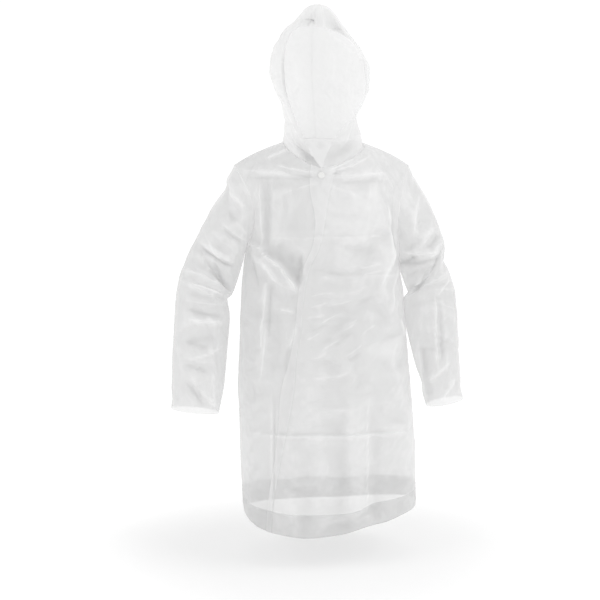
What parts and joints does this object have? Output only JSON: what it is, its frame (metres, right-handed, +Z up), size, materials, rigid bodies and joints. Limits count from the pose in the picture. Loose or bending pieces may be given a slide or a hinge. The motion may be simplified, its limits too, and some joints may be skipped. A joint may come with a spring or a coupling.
{
  "type": "rain poncho",
  "caption": "Thin milky rain poncho in its worn shape: hooded, long-sleeved and knee-length, fronts lapped and held by a snap at the neck, open at face, cuffs and hem.",
  "frame": {"origin": "between the shoulders, at the height where the coat rests on them, midway between its front and back", "axes": "+Z up, the front faces -Y, +X to the wearer's left"},
  "size_m": [0.769, 0.3489, 1.3474],
  "materials": {
    "film": "thin milky translucent film, soft gloss, finely wrinkled",
    "snap_plastic": "moulded white plastic, satin"
  },
  "bodies": {
    "root": {"front_left": "film", "front_right": "film", "back": "film", "sleeve_left": "film", "sleeve_right": "film", "hood_left": "film", "hood_right": "film", "snap_cap": "snap_plastic", "snap_socket": "snap_plastic"}
  },
  "joints": []
}
